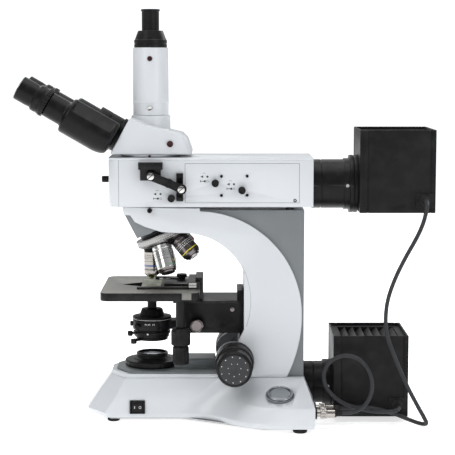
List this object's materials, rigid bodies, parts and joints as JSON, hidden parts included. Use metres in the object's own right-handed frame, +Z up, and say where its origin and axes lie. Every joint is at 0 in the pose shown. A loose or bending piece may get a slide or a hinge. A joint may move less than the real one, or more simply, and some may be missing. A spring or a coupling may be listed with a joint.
{
  "type": "microscope",
  "caption": "Upright trinocular microscope for reflected and transmitted light, with a revolving nosepiece, mechanical stage and two lamp houses.",
  "frame": {"origin": "middle of the footprint, on the desk under the feet", "axes": "+Z up, +X from the eyepieces towards the lamp houses, +Y away from the side with the controls"},
  "size_m": [0.5588, 0.236, 0.5516],
  "materials": {
    "white_paint": "satin light grey-white paint",
    "arm_grey": "satin slate grey paint",
    "deck_grey": "satin slate grey paint, finely textured",
    "black_metal": "black anodised, satin",
    "lamp_black": "fine textured black powder coat",
    "black_plastic": "moulded, satin",
    "rubber": "matt",
    "cord_sleeve": "grey-black jacket, slightly ribbed",
    "nickel": "nickel plated",
    "chrome": "polished, with engraved colour ring",
    "gunmetal": "dark chrome",
    "turret_metal": "turned and knurled",
    "steel": "machined",
    "brass": "machined",
    "stage_black": "black, hard anodised",
    "stage_grey": "warm grey anodised",
    "dial_grey": "turned, satin",
    "clear_glass": "clear",
    "board": "circuit board and transformer"
  },
  "bodies": {
    "stand": {"base_casting": "white_paint", "base_deck": "deck_grey", "bottom_plate": "steel", "rubber_feet": "rubber", "power_supply": "board", "panel_fittings": "black_plastic", "stand_optics": "clear_glass", "arm_core": "arm_grey", "side_panels": "white_paint", "illuminator_box": "white_paint", "illuminator_lid": "white_paint", "slot_block": "black_metal", "case_screws": "black_metal", "lamp_tubes": "black_metal", "lamp_houses": "lamp_black", "lamp_grilles": "lamp_black", "halogen_lamps": "clear_glass", "cord_glands": "black_plastic", "cord_upper": "cord_sleeve", "cord_lower": "cord_sleeve", "plug_upper": "nickel", "plug_lower": "nickel", "nosepiece_mount": "black_metal"},
    "switch": {"switch_rocker": "black_plastic"},
    "dial": {"dial": "dial_grey"},
    "field_iris": {"field_ring": "black_metal"},
    "coarse": {"coarse_knobs": "black_plastic"},
    "fine": {"fine_knobs": "black_plastic"},
    "turret": {"turret": "turret_metal", "objective_blue": "chrome", "objective_green": "chrome", "objective_yellow": "gunmetal", "objectives_far": "chrome"},
    "carrier": {"stage_carrier": "stage_black", "focus_rack": "brass"},
    "stage": {"stage_plate": "stage_black"},
    "holder": {"slide_holder": "stage_grey", "glass_slide": "clear_glass"},
    "clip": {"slide_clip": "stage_black"},
    "x_knob": {"x_knob": "black_plastic"},
    "y_knob": {"y_knob": "black_plastic"},
    "condenser": {"condenser_bracket": "black_metal", "condenser": "black_metal"},
    "condenser_knob": {"condenser_knob": "black_plastic"},
    "aperture": {"aperture_lever": "black_metal"},
    "filter": {"filter_holder": "black_metal"},
    "head": {"head_casting": "white_paint", "head_mounts": "black_metal", "head_screws": "nickel", "photo_tube": "white_paint", "photo_port": "black_metal"},
    "eye_right": {"eye_arm_right": "black_metal", "eyepiece_right": "black_plastic"},
    "eye_left": {"eye_arm_left": "black_metal"},
    "diopter": {"eyepiece_left": "black_plastic"},
    "lever": {"mode_lever": "black_metal"},
    "slot_pull": {"knob_slot": "black_plastic"},
    "field_pull": {"knob_field": "black_plastic"},
    "filter_pull": {"knob_filter": "black_plastic"},
    "front_pull": {"knob_front": "black_plastic"}
  },
  "joints": [
    {"name": "head_turn", "type": "hinge", "parent": "stand", "child": "head", "pos_m": [-0.09881, 0, 0.3575], "axis": [0, 0, 1], "range_deg": [-90, 90]},
    {"name": "eye_right_swing", "type": "hinge", "parent": "head", "child": "eye_right", "pos_m": [-0.14411, 0, 0.3851], "axis": [-0.866, 0, 0.5], "range_deg": [-20, 15]},
    {"name": "eye_left_swing", "type": "hinge", "parent": "head", "child": "eye_left", "pos_m": [-0.14411, 0, 0.3851], "axis": [-0.866, 0, 0.5], "range_deg": [-15, 20]},
    {"name": "diopter_turn", "type": "hinge", "parent": "eye_left", "child": "diopter", "pos_m": [-0.14861, 0.032, 0.37731], "axis": [-0.866, 0, 0.5], "range_deg": [-150, 150]},
    {"name": "turret_turn", "type": "hinge", "parent": "stand", "child": "turret", "pos_m": [-0.09881, 0, 0.2865], "axis": [0.3907, 0, -0.9205], "continuous": true},
    {"name": "stage_lift", "type": "slide", "parent": "stand", "child": "carrier", "axis": [0, 0, 1], "range_m": [-0.014, 0.004]},
    {"name": "coarse_turn", "type": "hinge", "parent": "stand", "child": "coarse", "pos_m": [0.01319, 0, 0.083], "axis": [0, -1, 0], "range_deg": [-146, 43]},
    {"name": "fine_turn", "type": "hinge", "parent": "stand", "child": "fine", "pos_m": [0.01319, 0, 0.083], "axis": [0, -1, 0], "continuous": true},
    {"name": "stage_travel", "type": "slide", "parent": "carrier", "child": "stage", "axis": [1, 0, 0], "range_m": [-0.018, 0.018]},
    {"name": "x_knob_turn", "type": "hinge", "parent": "stage", "child": "x_knob", "pos_m": [-0.05781, -0.064, 0.118], "axis": [0, 0, 1], "range_deg": [-166, 166]},
    {"name": "slide_travel", "type": "slide", "parent": "stage", "child": "holder", "axis": [0, 1, 0], "range_m": [-0.032, 0.032]},
    {"name": "y_knob_turn", "type": "hinge", "parent": "stage", "child": "y_knob", "pos_m": [-0.05781, -0.064, 0.095], "axis": [0, 0, 1], "range_deg": [-292, 292]},
    {"name": "clip_swing", "type": "hinge", "parent": "holder", "child": "clip", "pos_m": [-0.05881, 0.026, 0.184], "axis": [0, 0, 1], "range_deg": [-25, 0], "stiffness_Nm_per_rad": 0.02},
    {"name": "condenser_lift", "type": "slide", "parent": "carrier", "child": "condenser", "axis": [0, 0, 1], "range_m": [-0.002, 0.016]},
    {"name": "condenser_knob_turn", "type": "hinge", "parent": "carrier", "child": "condenser_knob", "pos_m": [-0.03681, -0.036, 0.129], "axis": [0, -1, 0], "range_deg": [-22, 156]},
    {"name": "aperture_turn", "type": "hinge", "parent": "condenser", "child": "aperture", "pos_m": [-0.09881, 0, 0.115], "axis": [0, 0, 1], "range_deg": [-35, 35]},
    {"name": "filter_swing", "type": "hinge", "parent": "condenser", "child": "filter", "pos_m": [-0.11981, 0.023, 0.106], "axis": [0, 0, 1], "range_deg": [-95, 0]},
    {"name": "field_iris_turn", "type": "hinge", "parent": "stand", "child": "field_iris", "pos_m": [-0.09881, 0, 0.073], "axis": [0, 0, 1], "range_deg": [-45, 45]},
    {"name": "dial_turn", "type": "hinge", "parent": "stand", "child": "dial", "pos_m": [0.07319, -0.088, 0.0436], "axis": [0, -0.3486, 0.9373], "range_deg": [-135, 135]},
    {"name": "switch_rock", "type": "hinge", "parent": "stand", "child": "switch", "pos_m": [-0.11681, -0.0495, 0.021], "axis": [0, 0, 1], "range_deg": [-8, 8]},
    {"name": "lever_rock", "type": "hinge", "parent": "stand", "child": "lever", "pos_m": [-0.07311, -0.062, 0.3235], "axis": [0, -1, 0], "range_deg": [-10, 10]},
    {"name": "slot_pull", "type": "slide", "parent": "stand", "child": "slot_pull", "axis": [0, -1, 0], "range_m": [0, 0.008]},
    {"name": "field_pull", "type": "slide", "parent": "stand", "child": "field_pull", "axis": [0, -1, 0], "range_m": [0, 0.008]},
    {"name": "filter_pull", "type": "slide", "parent": "stand", "child": "filter_pull", "axis": [0, -1, 0], "range_m": [0, 0.008]},
    {"name": "front_pull", "type": "slide", "parent": "stand", "child": "front_pull", "axis": [-1, 0, 0], "range_m": [0, 0.01]}
  ],
  "couplings": [
    {"joint": "eye_left_swing", "follows": "eye_right_swing", "ratio": -1},
    {"joint": "coarse_turn", "follows": "stage_lift", "rad_per_m": 178.57},
    {"joint": "x_knob_turn", "follows": "stage_travel", "rad_per_m": 157},
    {"joint": "y_knob_turn", "follows": "slide_travel", "rad_per_m": 157},
    {"joint": "condenser_knob_turn", "follows": "condenser_lift", "rad_per_m": 166.7}
  ]
}
